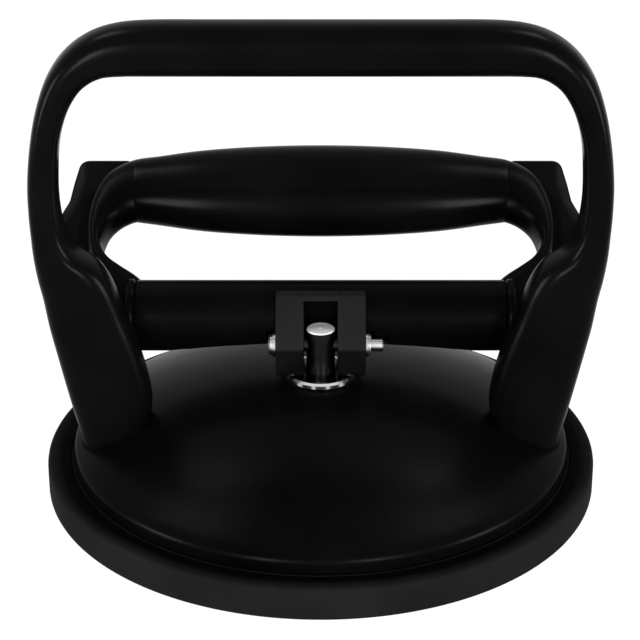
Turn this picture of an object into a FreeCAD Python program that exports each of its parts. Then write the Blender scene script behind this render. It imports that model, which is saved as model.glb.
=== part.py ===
import FreeCAD, Part
import math
import os

import Sketcher

# A single-cup suction lifter for floor tiles. A rubber pad lies under a cast dome, a carry
# handle is screwed to the dome, and a cam lever behind the handle pulls the middle of the
# pad upwards through a stud. Millimetres, Z up, origin under the middle of the pad.

doc = FreeCAD.newDocument("TileLifter")
sheet = doc.addObject("Spreadsheet::Sheet", "Sizes")


class Size:
    """A length or angle that keeps the spreadsheet formula it came from."""

    def __init__(self, formula, value):
        self.formula = formula
        self.value = value

    def __add__(self, other):
        return Size(f"({self.formula} + {formula_of(other)})", self.value + value_of(other))

    def __sub__(self, other):
        return Size(f"({self.formula} - {formula_of(other)})", self.value - value_of(other))

    def __mul__(self, other):
        return Size(f"({self.formula} * {formula_of(other)})", self.value * value_of(other))

    def __truediv__(self, other):
        return Size(f"({self.formula} / {formula_of(other)})", self.value / value_of(other))

    def __neg__(self):
        return Size(f"(0 - {self.formula})", -self.value)

    def __float__(self):
        return self.value


def formula_of(value):
    return value.formula if isinstance(value, Size) else f"({float(value)})"


def value_of(value):
    return float(value)


size_names = []


def size(name, value):
    """One driving dimension: a named cell of the sheet."""
    size_names.append(name)
    row = len(size_names)
    sheet.set(f"A{row}", name)
    sheet.set(f"B{row}", str(value))
    sheet.setAlias(f"B{row}", name)
    return Size(f"Sizes.{name}", float(value))


# Rubber pad
pad_radius = size("pad_radius", 100)
pad_thickness = size("pad_thickness", 12)
pad_edge_bevel = size("pad_edge_bevel", 1.6)
pad_lip_width = size("pad_lip_width", 13)
pad_recess = size("pad_recess", 0.8)
pad_web_thickness = size("pad_web_thickness", 5)
pad_seat_width = size("pad_seat_width", 28)
pad_hub_radius = size("pad_hub_radius", 32)
pad_hub_height = size("pad_hub_height", 9.5)
pad_hub_opening = size("pad_hub_opening", 16)

# Insert plate, stud and spring
insert_radius = size("insert_radius", 24)
insert_thickness = size("insert_thickness", 3)
insert_bottom = size("insert_bottom", 3.4)
insert_boss_radius = size("insert_boss_radius", 10)
rubber_gap = size("rubber_gap", 0.05)
stud_radius = size("stud_radius", 5.15)
stud_above_pin = size("stud_above_pin", 6.6)
stud_chamfer = size("stud_chamfer", 0.8)
running_gap = size("running_gap", 0.05)
press_gap = size("press_gap", 0.02)
stud_nut_width = size("stud_nut_width", 17)
stud_nut_height = size("stud_nut_height", 5)
spring_seat_radius = size("spring_seat_radius", 12.5)
spring_seat_thickness = size("spring_seat_thickness", 1.5)
spring_seat_lip = size("spring_seat_lip", 1.2)
spring_wire = size("spring_wire", 1.8)
spring_radius = size("spring_radius", 9)
spring_turns = size("spring_turns", 3.5)
spring_end_gap = size("spring_end_gap", 0.15)

# Dome and its bush
dome_setback = size("dome_setback", 10)
dome_height = size("dome_height", 40.2)
dome_rim_height = size("dome_rim_height", 4.85)
dome_rim_round = size("dome_rim_round", 3.5)
dome_wall = size("dome_wall", 4.5)
dome_rim_width = size("dome_rim_width", 16)
dome_boss_radius = size("dome_boss_radius", 13.8)
dome_boss_depth = size("dome_boss_depth", 10)
dome_rib_count = size("dome_rib_count", 8)
dome_rib_thickness = size("dome_rib_thickness", 3)
bush_flange_radius = size("bush_flange_radius", 12.5)
bush_flange_thickness = size("bush_flange_thickness", 2.6)
bush_flange_round = size("bush_flange_round", 0.7)
bush_sleeve_radius = size("bush_sleeve_radius", 8)

# Carry handle
handle_height = size("handle_height", 177.4)
handle_overhang = size("handle_overhang", 10.8)
handle_widest_drop = size("handle_widest_drop", 64.4)
handle_corner_radius = size("handle_corner_radius", 36)
handle_side_radius = size("handle_side_radius", 130)
handle_lower_radius = size("handle_lower_radius", 225)
handle_leg_lean = size("handle_leg_lean", 11.5)
handle_depth = size("handle_depth", 20)
handle_setback = size("handle_setback", 10)
grip_bar_height = size("grip_bar_height", 18.6)
band_width = size("band_width", 10.6)
opening_widest_drop = size("opening_widest_drop", 55.4)
opening_corner_offset = size("opening_corner_offset", 15)
opening_side_offset = size("opening_side_offset", 15)
ledge_radius = size("ledge_radius", 20)
ledge_drop = size("ledge_drop", 70.4)
ledge_end_angle = size("ledge_end_angle", 71)
shoulder_radius = size("shoulder_radius", 3.5)
leg_inner_lean = size("leg_inner_lean", 16.5)
band_round = size("band_round", 4.4)
leg_round = size("leg_round", 7)

# Screws that hold the handle
screw_edge_distance = size("screw_edge_distance", 4.7)
screw_pitch = size("screw_pitch", 13.2)
screw_radius = size("screw_radius", 3)
screw_head_radius = size("screw_head_radius", 5)
screw_head_height = size("screw_head_height", 3.3)
screw_socket_width = size("screw_socket_width", 4)
screw_socket_depth = size("screw_socket_depth", 2)
screw_length = size("screw_length", 27)
screw_seat_height = size("screw_seat_height", 17)
screw_washer_radius = size("screw_washer_radius", 5.6)
screw_washer_thickness = size("screw_washer_thickness", 1)
screw_clearance = size("screw_clearance", 0.4)
leg_block_margin = size("leg_block_margin", 1.5)

# Cam lever
lever_tilt = size("lever_tilt", 30.2)
lever_travel = size("lever_travel", 36)
stud_lift = size("stud_lift", 5)
heel_start = size("heel_start", 9.9)
heel_gap = size("heel_gap", 0.1)
bar_back = size("bar_back", 13.8)
bar_up = size("bar_up", 5.2)
bar_radius = size("bar_radius", 12.9)
bar_end_setback = size("bar_end_setback", 20.1)
bar_relief = size("bar_relief", 4)
bar_front_relief = size("bar_front_relief", 3.4)
bar_front_lean = size("bar_front_lean", 22)
bar_relief_setback = size("bar_relief_setback", 12.4)
collar_radius = size("collar_radius", 13.3)
collar_thickness = size("collar_thickness", 2.8)
lug_half_width = size("lug_half_width", 16.2)
lug_front = size("lug_front", 8)
lug_nose_above_pin = size("lug_nose_above_pin", 1.3)
lug_bevel_run = size("lug_bevel_run", 12.2)
lug_bevel_rise = size("lug_bevel_rise", 15.9)
lug_top_length = size("lug_top_length", 6)
lug_front_corner = size("lug_front_corner", 3.4)
slot_clearance = size("slot_clearance", 0.95)
slot_above_pin = size("slot_above_pin", 15.6)
arm_half_depth = size("arm_half_depth", 8)
arm_outer_reach = size("arm_outer_reach", 87.5)
arm_width = size("arm_width", 6.5)
arm_inner_round = size("arm_inner_round", 4)
arm_outer_round = size("arm_outer_round", 1.6)
ear_overhang = size("ear_overhang", 4.5)
ear_flare = size("ear_flare", 6)
ear_above_grip = size("ear_above_grip", 15.7)
ear_thickness = size("ear_thickness", 4)
ear_drop = size("ear_drop", 1)
ear_corner_radius = size("ear_corner_radius", 5)
grip_distance = size("grip_distance", 57.2)
grip_end_setback = size("grip_end_setback", 16.9)
grip_mid_width = size("grip_mid_width", 37.6)
grip_mid_depth = size("grip_mid_depth", 27.8)
grip_end_width = size("grip_end_width", 24.6)
grip_end_depth = size("grip_end_depth", 18.6)
grip_core_radius = size("grip_core_radius", 6.5)

# Cross pin with its washers and clip
pin_radius = size("pin_radius", 2.5)
pin_head_radius = size("pin_head_radius", 3.8)
pin_head_thickness = size("pin_head_thickness", 1.6)
pin_tail = size("pin_tail", 4.6)
pin_chamfer = size("pin_chamfer", 0.6)
pin_washer_radius = size("pin_washer_radius", 4.5)
pin_washer_thickness = size("pin_washer_thickness", 0.9)
pin_end_gap = size("pin_end_gap", 0.1)
clip_radius = size("clip_radius", 4.1)
clip_thickness = size("clip_thickness", 0.7)
clip_groove_depth = size("clip_groove_depth", 0.45)
clip_mouth = size("clip_mouth", 3.2)
pocket_margin = size("pocket_margin", 0.5)
pocket_length = size("pocket_length", 3.4)
tail_margin = size("tail_margin", 0.6)

doc.recompute()

# Sizes that several pieces share
dome_radius = pad_radius - dome_setback
dome_rise = dome_height - pad_thickness - dome_rim_height
dome_crown_radius = (dome_radius * dome_radius + dome_rise * dome_rise) / (dome_rise * 2)
dome_centre_height = dome_height - dome_crown_radius
pad_seat_inner_radius = dome_radius - pad_seat_width
handle_half_width = dome_radius + handle_overhang
handle_widest_height = handle_height - handle_widest_drop
opening_half_width = handle_half_width - band_width
opening_widest_height = handle_height - opening_widest_drop
opening_corner_radius = handle_corner_radius - opening_corner_offset
opening_side_radius = handle_side_radius - opening_side_offset
ledge_height = handle_height - ledge_drop
knee_turn = math.radians(handle_leg_lean.value)
knee_reach = handle_half_width - handle_lower_radius * (1 - math.cos(knee_turn))
knee_height = handle_widest_height - handle_lower_radius * math.sin(knee_turn)
foot_reach = knee_reach - (knee_height - screw_seat_height) * math.tan(knee_turn)
screw_outer_reach = foot_reach - screw_edge_distance
screw_inner_reach = screw_outer_reach - screw_pitch
arm_inner_reach = arm_outer_reach - arm_width
bar_half_length = arm_outer_reach - bar_end_setback
bar_relief_half_length = bar_half_length - bar_relief_setback
grip_half_length = arm_outer_reach - grip_end_setback
ear_reach = arm_outer_reach + ear_overhang
ear_flare_reach = ear_reach + ear_flare
ear_top = grip_distance + ear_above_grip
bush_top = dome_height + bush_flange_thickness
pin_height = bush_top + heel_start
bar_height = pin_height + bar_up
nut_bottom = insert_bottom + insert_thickness + insert_thickness
spring_bottom = nut_bottom + stud_nut_height + spring_seat_thickness
spring_top = dome_height - dome_boss_depth
cavity_radius = dome_radius - dome_rim_width
cam_rate = stud_lift / (lever_travel * (math.pi / 180))
slot_half_width = stud_radius + slot_clearance

X_AXIS = FreeCAD.Vector(1, 0, 0)
Y_AXIS = FreeCAD.Vector(0, 1, 0)
Z_AXIS = FreeCAD.Vector(0, 0, 1)


def bind(thing, **sizes):
    """Tie properties of an object to the sheet."""
    for name, value in sizes.items():
        thing.setExpression(name, formula_of(value))
    return thing


def place(thing, x=0, y=0, z=0, axis=Z_AXIS, angle=0):
    """Turn an object about one axis and tie its place to the sheet."""
    thing.Placement = FreeCAD.Placement(FreeCAD.Vector(), FreeCAD.Rotation(axis, float(angle)))
    for letter, value in zip("xyz", (x, y, z)):
        thing.setExpression(f".Placement.Base.{letter}", formula_of(value))
    if isinstance(angle, Size):
        thing.setExpression(".Placement.Rotation.Angle", angle.formula)
    return thing


def cylinder(name, radius, height, **where):
    solid = doc.addObject("Part::Cylinder", name)
    bind(solid, Radius=radius, Height=height)
    return place(solid, **where)


def box(name, length, width, height, **where):
    solid = doc.addObject("Part::Box", name)
    bind(solid, Length=length, Width=width, Height=height)
    return place(solid, **where)


def across_x(name, radius, start, length, y=0, z=0):
    """A cylinder that lies along X."""
    return cylinder(name, radius, length, x=start, y=y, z=z, axis=Y_AXIS, angle=90)


def fuse(name, pieces):
    whole = doc.addObject("Part::MultiFuse", name)
    whole.Shapes = pieces
    return whole


def cut(name, base, tool):
    rest = doc.addObject("Part::Cut", name)
    rest.Base = base
    rest.Tool = tool
    return rest


def common(name, base, tool):
    shared = doc.addObject("Part::Common", name)
    shared.Base = base
    shared.Tool = tool
    return shared


def feature(name, shape):
    solid = doc.addObject("Part::Feature", name)
    solid.Shape = shape
    return solid


def pin_corner(sketch, line, corner):
    """Hold the start of one line at a corner given in sheet sizes."""
    for kind, value, own_axis in (("DistanceX", corner[0], -2), ("DistanceY", corner[1], -1)):
        if not isinstance(value, Size) and value == 0:
            sketch.addConstraint(Sketcher.Constraint("PointOnObject", line, 1, own_axis))
            continue
        index = sketch.addConstraint(Sketcher.Constraint(kind, -1, 1, line, 1, float(value)))
        sketch.setExpression(f"Constraints[{index}]", formula_of(value))


def turned(name, corners, around="V_Axis", z=0):
    """A lathe part: a closed profile in the XZ plane, turned about Z or about X."""
    body = doc.addObject("PartDesign::Body", name)
    sketch = body.newObject("Sketcher::SketchObject", name + "_profile")
    side = [plane for plane in body.Origin.OriginFeatures if plane.Role == "XZ_Plane"][0]
    sketch.AttachmentSupport = (side, [""])
    sketch.MapMode = "FlatFace"
    ends = [FreeCAD.Vector(float(a), float(b), 0) for a, b in corners]
    for index, start in enumerate(ends):
        sketch.addGeometry(Part.LineSegment(start, ends[(index + 1) % len(ends)]), False)
    for index, corner in enumerate(corners):
        follower = (index + 1) % len(corners)
        sketch.addConstraint(Sketcher.Constraint("Coincident", index, 2, follower, 1))
        pin_corner(sketch, index, corner)
    turn = body.newObject("PartDesign::Revolution", name + "_turn")
    turn.Profile = sketch
    turn.ReferenceAxis = (sketch, [around])
    turn.Angle = 360
    body.Placement = FreeCAD.Placement(FreeCAD.Vector(), FreeCAD.Rotation())
    body.setExpression(".Placement.Base.z", formula_of(z))
    return body


# ---------------------------------------------------------------- rubber pad and its plate


def make_rubber_pad():
    """Thick sealing rim, thin web and a hub that grips the insert plate."""
    plate_top = insert_bottom + insert_thickness
    web_top = pad_recess + pad_web_thickness
    return turned("rubber_pad", [
        (0, pad_recess),
        (pad_radius - pad_lip_width - pad_recess, pad_recess),
        (pad_radius - pad_lip_width, 0),
        (pad_radius - pad_edge_bevel, 0),
        (pad_radius, pad_edge_bevel),
        (pad_radius, pad_thickness - pad_edge_bevel),
        (pad_radius - pad_edge_bevel, pad_thickness),
        (pad_seat_inner_radius, pad_thickness),
        (pad_seat_inner_radius - (pad_thickness - web_top), web_top),
        (pad_hub_radius + (pad_hub_height - web_top), web_top),
        (pad_hub_radius, pad_hub_height),
        (pad_hub_opening, pad_hub_height),
        (pad_hub_opening, plate_top),
        (insert_radius + rubber_gap, plate_top),
        (insert_radius + rubber_gap, insert_bottom),
        (0, insert_bottom),
    ])


def make_insert_plate():
    """Steel disc moulded into the pad, with a threaded boss for the stud."""
    plate_top = insert_bottom + insert_thickness
    bore = stud_radius + press_gap
    return turned("insert_plate", [
        (bore, insert_bottom),
        (insert_radius, insert_bottom),
        (insert_radius, plate_top),
        (insert_boss_radius, plate_top),
        (insert_boss_radius, nut_bottom),
        (bore, nut_bottom),
    ])


# ---------------------------------------------------------------- stud, nut and spring


def make_pull_stud():
    """Round stud from the insert plate up to the cross pin, drilled for the pin."""
    top = pin_height + stud_above_pin
    blank = turned("stud_blank", [
        (0, insert_bottom),
        (stud_radius, insert_bottom),
        (stud_radius, top - stud_chamfer),
        (stud_radius - stud_chamfer, top),
        (0, top),
    ])
    drill = across_x("stud_drill", pin_radius + running_gap, -stud_radius * 2, stud_radius * 4, z=pin_height)
    return cut("pull_stud", blank, drill)


def make_stud_nut():
    """Hexagon nut that locks the stud in the insert plate."""
    hexagon = doc.addObject("Part::Prism", "stud_nut_hexagon")
    hexagon.Polygon = 6
    bind(hexagon, Circumradius=stud_nut_width / math.sqrt(3), Height=stud_nut_height)
    place(hexagon, z=nut_bottom)
    bore = cylinder("stud_nut_bore", stud_radius + press_gap, stud_nut_height, z=nut_bottom)
    return cut("stud_nut", hexagon, bore)


def make_spring_seat():
    """Cupped washer that centres the lower end of the spring."""
    bottom = nut_bottom + stud_nut_height
    bore = stud_radius + press_gap
    inside = spring_radius + spring_wire / 2 + spring_seat_thickness / 5
    return turned("spring_seat", [
        (bore, bottom),
        (spring_seat_radius, bottom),
        (spring_seat_radius, spring_bottom + spring_seat_lip),
        (inside, spring_bottom + spring_seat_lip),
        (inside, spring_bottom),
        (bore, spring_bottom),
    ])


def make_return_spring():
    """Open-coiled spring that pushes the pad back down when the lever is let go."""
    rise = spring_top - spring_bottom - spring_wire - spring_end_gap * 2
    pitch = rise / spring_turns
    coil = doc.addObject("Part::Helix", "spring_coil")
    bind(coil, Pitch=pitch, Height=rise, Radius=spring_radius)
    base = spring_bottom + spring_wire / 2 + spring_end_gap
    place(coil, z=base)
    section = doc.addObject("Part::Circle", "spring_section")
    bind(section, Radius=spring_wire / 2)
    place(section, x=spring_radius, z=base, axis=X_AXIS, angle=90)
    doc.recompute()
    sweep = doc.addObject("Part::Sweep", "return_spring")
    sweep.Sections = [section]
    sweep.Spine = (coil, [f"Edge{index + 1}" for index in range(len(coil.Shape.Edges))])
    sweep.Solid = True
    sweep.Frenet = True
    return sweep


# ---------------------------------------------------------------- dome


def make_dome_envelope():
    """The outside of the dome: a shallow spherical crown over a short upright rim."""
    ball = doc.addObject("Part::Sphere", "dome_ball")
    bind(ball, Radius=dome_crown_radius)
    place(ball, z=dome_centre_height)
    disc = cylinder("dome_disc", dome_radius, dome_height, z=pad_thickness)
    crown = common("dome_crown", ball, disc)
    doc.recompute()
    rim = [
        index + 1
        for index, edge in enumerate(crown.Shape.Edges)
        if edge.BoundBox.ZMin > pad_thickness.value + 1 and edge.BoundBox.XLength > dome_radius.value
    ]
    rounded = doc.addObject("Part::Fillet", "dome_rounded")
    rounded.Base = crown
    rounded.Edges = [(index, dome_rim_round.value, dome_rim_round.value) for index in rim]
    land = cylinder("dome_land", dome_boss_radius, dome_wall, z=dome_height - dome_wall)
    return fuse("dome_envelope", [rounded, land])


def make_dome_hollow():
    """The space under the dome, less its ribs, its middle boss and the blocks under the legs."""
    ball = doc.addObject("Part::Sphere", "hollow_ball")
    bind(ball, Radius=dome_crown_radius - dome_wall)
    place(ball, z=dome_centre_height)
    disc = cylinder("hollow_disc", cavity_radius, dome_height, z=pad_thickness - 1)
    space = common("hollow_space", ball, disc)
    ribs = []
    for index in range(int(dome_rib_count.value)):
        angle = 360 / dome_rib_count.value * (index + 0.5)
        rib = box(f"rib_{index + 1}", dome_radius, dome_rib_thickness, dome_height, z=pad_thickness)
        turn = FreeCAD.Rotation(Z_AXIS, angle)
        shift = turn.multVec(FreeCAD.Vector(0, -dome_rib_thickness.value / 2, 0))
        rib.Placement.Rotation = turn
        rib.setExpression(".Placement.Base.x", f"{shift.x / dome_rib_thickness.value} * {dome_rib_thickness.formula}")
        rib.setExpression(".Placement.Base.y", f"{shift.y / dome_rib_thickness.value} * {dome_rib_thickness.formula}")
        ribs.append(rib)
    cone = doc.addObject("Part::Cone", "rib_underside")
    bind(cone, Radius1=cavity_radius + 6, Radius2=dome_boss_radius, Height=spring_top - pad_thickness)
    place(cone, z=pad_thickness)
    sloped = cut("rib_set", fuse("rib_blanks", ribs), cone)
    boss = cylinder("dome_boss", dome_boss_radius, dome_boss_depth + 1, z=spring_top)
    kept = [sloped, boss]
    for side, sign in (("left", -1), ("right", 1)):
        reach = screw_outer_reach - screw_inner_reach + screw_washer_radius * 4
        start = screw_inner_reach - screw_washer_radius * 2
        kept.append(box(
            f"leg_block_{side}", reach, handle_depth + leg_block_margin * 2, dome_height,
            x=start if sign > 0 else -(start + reach),
            y=-(handle_setback + handle_depth / 2 + leg_block_margin),
            z=pad_thickness + screw_clearance,
        ))
    return cut("dome_hollow", space, fuse("dome_kept", kept))


def screw_places():
    for side, sign in (("left", -1), ("right", 1)):
        for row, reach in (("inner", screw_inner_reach), ("outer", screw_outer_reach)):
            yield f"{row}_{side}", reach * sign


def make_dome_housing(envelope):
    """Cast dome: the envelope hollowed out, bored for the bush and drilled for the screws."""
    shell = cut("dome_shell", envelope, make_dome_hollow())
    holes = [cylinder("bush_hole", bush_sleeve_radius + press_gap, dome_height * 2)]
    for name, reach in screw_places():
        holes.append(cylinder(f"drill_{name}", screw_radius + screw_clearance, dome_height, x=reach, y=-handle_setback))
        holes.append(cylinder(
            f"seat_{name}", screw_washer_radius + screw_clearance, screw_seat_height, x=reach, y=-handle_setback,
        ))
    return cut("dome_housing", shell, fuse("dome_holes", holes))


def make_guide_bush():
    """Flanged bush: guides the stud, and its flange is the track for the cam heels."""
    bore = stud_radius + running_gap
    sleeve_bottom = spring_top
    return turned("guide_bush", [
        (bore, sleeve_bottom),
        (bush_sleeve_radius, sleeve_bottom),
        (bush_sleeve_radius, dome_height),
        (bush_flange_radius - bush_flange_round, dome_height),
        (bush_flange_radius, dome_height + bush_flange_round),
        (bush_flange_radius, bush_top - bush_flange_round),
        (bush_flange_radius - bush_flange_round, bush_top),
        (bore, bush_top),
    ])


# ---------------------------------------------------------------- carry handle


def flat(x, z):
    return FreeCAD.Vector(x, 0, z)


def on_circle(centre, radius, degrees):
    angle = math.radians(degrees)
    return flat(centre.x + radius * math.cos(angle), centre.z + radius * math.sin(angle))


def arc(centre, radius, first, last):
    """Arc in the XZ plane from one angle to another, by way of the middle one."""
    middle = (first + last) / 2
    return Part.Arc(
        on_circle(centre, radius, first), on_circle(centre, radius, middle), on_circle(centre, radius, last)
    ).toShape()


def line(start, end):
    return Part.makeLine(start, end)


def outside_edges():
    """Right half of the handle's outline, from the top middle down to the foot."""
    side_centre = flat(handle_half_width.value - handle_side_radius.value, handle_widest_height.value)
    reach = handle_side_radius.value - handle_corner_radius.value
    rise = handle_height.value - handle_corner_radius.value - handle_widest_height.value
    turn = math.degrees(math.asin(rise / reach))
    corner_centre = on_circle(side_centre, reach, turn)
    lower_centre = flat(handle_half_width.value - handle_lower_radius.value, handle_widest_height.value)
    lean = handle_leg_lean.value
    knee = on_circle(lower_centre, handle_lower_radius.value, -lean)
    foot_drop = knee.z - pad_thickness.value + 6
    foot = flat(knee.x - foot_drop * math.tan(math.radians(lean)), knee.z - foot_drop)
    return [
        line(flat(0, handle_height.value), flat(corner_centre.x, handle_height.value)),
        arc(corner_centre, handle_corner_radius.value, 90, turn),
        arc(side_centre, handle_side_radius.value, turn, 0),
        arc(lower_centre, handle_lower_radius.value, 0, -lean),
        line(knee, foot),
    ]


def inside_edges():
    """Right half of the hand opening, from the top middle down to the foot."""
    underside = handle_height.value - grip_bar_height.value
    side_centre = flat(opening_half_width.value - opening_side_radius.value, opening_widest_height.value)
    reach = opening_side_radius.value - opening_corner_radius.value
    rise = underside - opening_corner_radius.value - opening_widest_height.value
    turn = math.degrees(math.asin(rise / reach))
    corner_centre = on_circle(side_centre, reach, turn)
    ledge_centre = flat(opening_half_width.value - ledge_radius.value, ledge_height.value)
    ledge_end = on_circle(ledge_centre, ledge_radius.value, -ledge_end_angle.value)
    # The shoulder rounds from the ledge's end to the inner side of the leg.
    heading = ledge_end_angle.value
    shoulder_centre = on_circle(ledge_centre, ledge_radius.value + shoulder_radius.value, -heading)
    lean = leg_inner_lean.value
    leg_top = on_circle(shoulder_centre, shoulder_radius.value, 180 - lean)
    drop = leg_top.z - pad_thickness.value + 6
    foot = flat(leg_top.x - drop * math.tan(math.radians(lean)), leg_top.z - drop)
    return [
        line(flat(0, underside), flat(corner_centre.x, underside)),
        arc(corner_centre, opening_corner_radius.value, 90, turn),
        arc(side_centre, opening_side_radius.value, turn, 0),
        line(flat(opening_half_width.value, opening_widest_height.value), flat(opening_half_width.value, ledge_height.value)),
        arc(ledge_centre, ledge_radius.value, 0, -heading),
        arc(shoulder_centre, shoulder_radius.value, 180 - heading, 180 - lean),
        line(leg_top, foot),
    ]


def make_handle_blank():
    """The arch as a flat plate: its outline extruded from back to front."""
    outside = outside_edges()
    inside = inside_edges()
    half = outside[1:] + inside[1:]
    half.append(line(outside[-1].Vertexes[-1].Point, inside[-1].Vertexes[-1].Point))
    mirror = FreeCAD.Matrix()
    mirror.A11 = -1
    edges = half + [edge.transformGeometry(mirror) for edge in half]
    for bar in (outside[0], inside[0]):
        end = bar.Vertexes[-1].Point
        edges.append(line(flat(-end.x, end.z), end))
    wire = Part.Wire(Part.__sortEdges__(edges))
    plate = Part.Face(wire).extrude(FreeCAD.Vector(0, -handle_depth.value, 0))
    plate.translate(FreeCAD.Vector(0, handle_depth.value / 2 - handle_setback.value, 0))
    return feature("handle_blank", plate), outside, inside


def thinnest_band():
    """Thinnest wall between the handle's outline and its opening, above the ledge."""
    low = ledge_height.value
    high = handle_height.value - grip_bar_height.value - opening_corner_radius.value
    walls = []
    for step in range(21):
        height = low + (high - low) * step / 20
        above = height - handle_widest_height.value
        radius = handle_side_radius.value if above > 0 else handle_lower_radius.value
        outer = handle_half_width.value - radius + math.sqrt(radius ** 2 - above ** 2)
        above = max(0.0, height - opening_widest_height.value)
        radius = opening_side_radius.value
        inner = opening_half_width.value - radius + math.sqrt(radius ** 2 - above ** 2)
        walls.append(outer - inner)
    return min(walls)


def make_carry_handle():
    """Round the arch, then seat its feet on the dome and tap them for the screws."""
    slim = min(band_round.value, thinnest_band() * 0.46)
    blank, outside, inside = make_handle_blank()
    thick = leg_round.value
    outer_rounds = [(slim, slim)] * 4 + [(slim, thick)]
    inner_rounds = [(slim, slim)] * 6 + [(slim, thick)]
    wanted = []
    for model, rounds in list(zip(outside, outer_rounds)) + list(zip(inside, inner_rounds)):
        ends = [model.Vertexes[0].Point, model.Vertexes[-1].Point]
        middle = model.valueAt((model.FirstParameter + model.LastParameter) / 2)
        wanted.append((ends, middle, rounds))
    fillets = []
    for index, edge in enumerate(blank.Shape.Edges):
        if edge.BoundBox.YLength > 0.01:
            continue
        centre = edge.valueAt((edge.FirstParameter + edge.LastParameter) / 2)
        for ends, middle, (first, last) in wanted:
            whole_bar = abs(middle.z - centre.z) < 0.01 and abs(centre.x) < 0.01 and ends[0].x == 0
            if whole_bar or (flat(abs(centre.x), centre.z) - middle).Length < 0.01:
                start = edge.valueAt(edge.FirstParameter)
                forward = (flat(abs(start.x), start.z) - ends[0]).Length < 0.01
                pair = (first, last) if forward or whole_bar else (last, first)
                fillets.append((index + 1, *pair))
                break
    rounded = doc.addObject("Part::Fillet", "handle_rounded")
    rounded.Base = blank
    rounded.Edges = fillets
    ground = cylinder("handle_ground", dome_radius, dome_height + pad_thickness * 2, z=-(pad_thickness * 2))
    seated = cut("handle_seated", rounded, common("handle_seat", doc.getObject("dome_ball"), ground))
    taps = []
    for name, reach in screw_places():
        depth = screw_length + screw_clearance
        start = screw_seat_height - screw_washer_thickness
        taps.append(cylinder(f"tap_{name}", screw_radius + press_gap, depth, x=reach, y=-handle_setback, z=start))
    return cut("carry_handle", seated, fuse("handle_taps", taps))


def make_handle_screws():
    """Socket screws driven up from inside the dome, two to a leg."""
    screws = []
    seat = screw_seat_height - screw_washer_thickness
    for name, reach in screw_places():
        head = cylinder(
            f"head_{name}", screw_head_radius, screw_head_height,
            x=reach, y=-handle_setback, z=seat - screw_head_height,
        )
        shank = cylinder(f"shank_{name}", screw_radius, screw_length, x=reach, y=-handle_setback, z=seat)
        socket = doc.addObject("Part::Prism", f"socket_{name}")
        socket.Polygon = 6
        bind(socket, Circumradius=screw_socket_width / math.sqrt(3), Height=screw_socket_depth)
        place(socket, x=reach, y=-handle_setback, z=seat - screw_head_height)
        screws.append(cut(f"handle_screw_{name}", fuse(f"blank_{name}", [head, shank]), socket))
    return screws


def make_handle_washers():
    washers = []
    bottom = screw_seat_height - screw_washer_thickness
    for name, reach in screw_places():
        disc = cylinder(
            f"disc_{name}", screw_washer_radius, screw_washer_thickness, x=reach, y=-handle_setback, z=bottom
        )
        eye = cylinder(
            f"eye_{name}", screw_radius + screw_clearance / 2, screw_washer_thickness,
            x=reach, y=-handle_setback, z=bottom,
        )
        washers.append(cut(f"screw_washer_{name}", disc, eye))
    return washers


# ---------------------------------------------------------------- cam lever


def heel_point(degrees):
    """Point of the cam heel: an involute, so the pin rises in step with the lever."""
    angle = math.radians(degrees)
    height = heel_start.value - heel_gap.value + cam_rate.value * angle
    back = height * math.sin(angle) + cam_rate.value * math.cos(angle)
    down = height * math.cos(angle) - cam_rate.value * math.sin(angle)
    return FreeCAD.Vector(0, back, pin_height.value - down)


def make_lugs():
    """Two cam plates side by side: upright front, bevel above, rolling heel below."""
    pin_z = pin_height.value
    front = -lug_front.value
    underside = pin_z - heel_start.value + heel_gap.value
    corner = lug_front_corner.value
    nose = FreeCAD.Vector(0, front, pin_z + lug_nose_above_pin.value)
    bevel_top = nose + FreeCAD.Vector(0, lug_bevel_run.value, lug_bevel_rise.value)
    top_back = bevel_top + FreeCAD.Vector(0, lug_top_length.value, 0)
    front_low = FreeCAD.Vector(0, front, underside + corner)
    front_mid = FreeCAD.Vector(
        0, front + corner * (1 - math.sqrt(0.5)), underside + corner * (1 - math.sqrt(0.5))
    )
    under_start = FreeCAD.Vector(0, front + corner, underside)
    steps = 6
    heel = [heel_point(lever_travel.value * step / steps) for step in range(steps + 1)]
    curve = Part.BSplineCurve()
    curve.interpolate(heel)
    inner = FreeCAD.Vector(0, bar_back.value, bar_height.value)
    wire = Part.Wire([
        line(bevel_top, nose),
        line(nose, front_low),
        Part.Arc(front_low, front_mid, under_start).toShape(),
        line(under_start, heel[0]),
        curve.toShape(),
        line(heel[-1], inner),
        line(inner, top_back),
        line(top_back, bevel_top),
    ])
    block = Part.Face(wire).extrude(FreeCAD.Vector(2 * lug_half_width.value, 0, 0))
    block.translate(FreeCAD.Vector(-lug_half_width.value, 0, 0))
    return feature("lug_block", block)


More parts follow.
